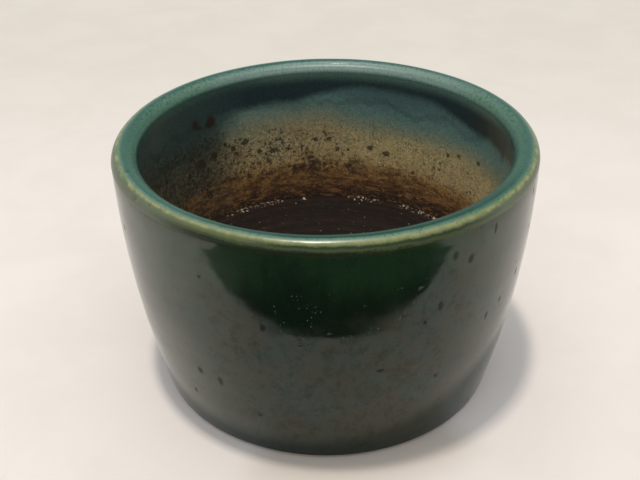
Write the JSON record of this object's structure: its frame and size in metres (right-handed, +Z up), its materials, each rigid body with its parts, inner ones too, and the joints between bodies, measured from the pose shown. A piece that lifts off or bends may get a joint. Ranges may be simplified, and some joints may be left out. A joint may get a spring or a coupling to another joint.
{
  "type": "bonsai pot",
  "caption": "Round, gently bellied glazed stoneware pot with a rolled lip, a raised drained floor, a soil screen and its keeper wire.",
  "frame": {"origin": "on the pot's axis, at the bottom of the foot ring", "axes": "+Z up along the pot's axis, out of its mouth; the keeper wire's legs lie along X"},
  "size_m": [0.18, 0.18, 0.114],
  "materials": {
    "fired_clay": "bare fired stoneware, buff with iron specks",
    "floor_clay": "bare fired stoneware, stained almost black by soil water",
    "green_glaze": "very glossy bottle-green glaze with pinholes",
    "lip_glaze": "glossy blue-green glaze that breaks to ochre on the edges",
    "inner_glaze": "glossy grey-green glaze that thins out down the wall",
    "screen_plastic": "black moulded mesh",
    "keeper_wire": "annealed aluminium wire, brown anodised"
  },
  "bodies": {
    "root": {"pot_wall": "fired_clay", "floor_slab": "floor_clay", "seam_coil": "floor_clay", "outer_glaze": "green_glaze", "lip_glaze": "lip_glaze", "inner_glaze": "inner_glaze", "drain_screen": "screen_plastic", "screen_wire": "keeper_wire"}
  },
  "joints": []
}
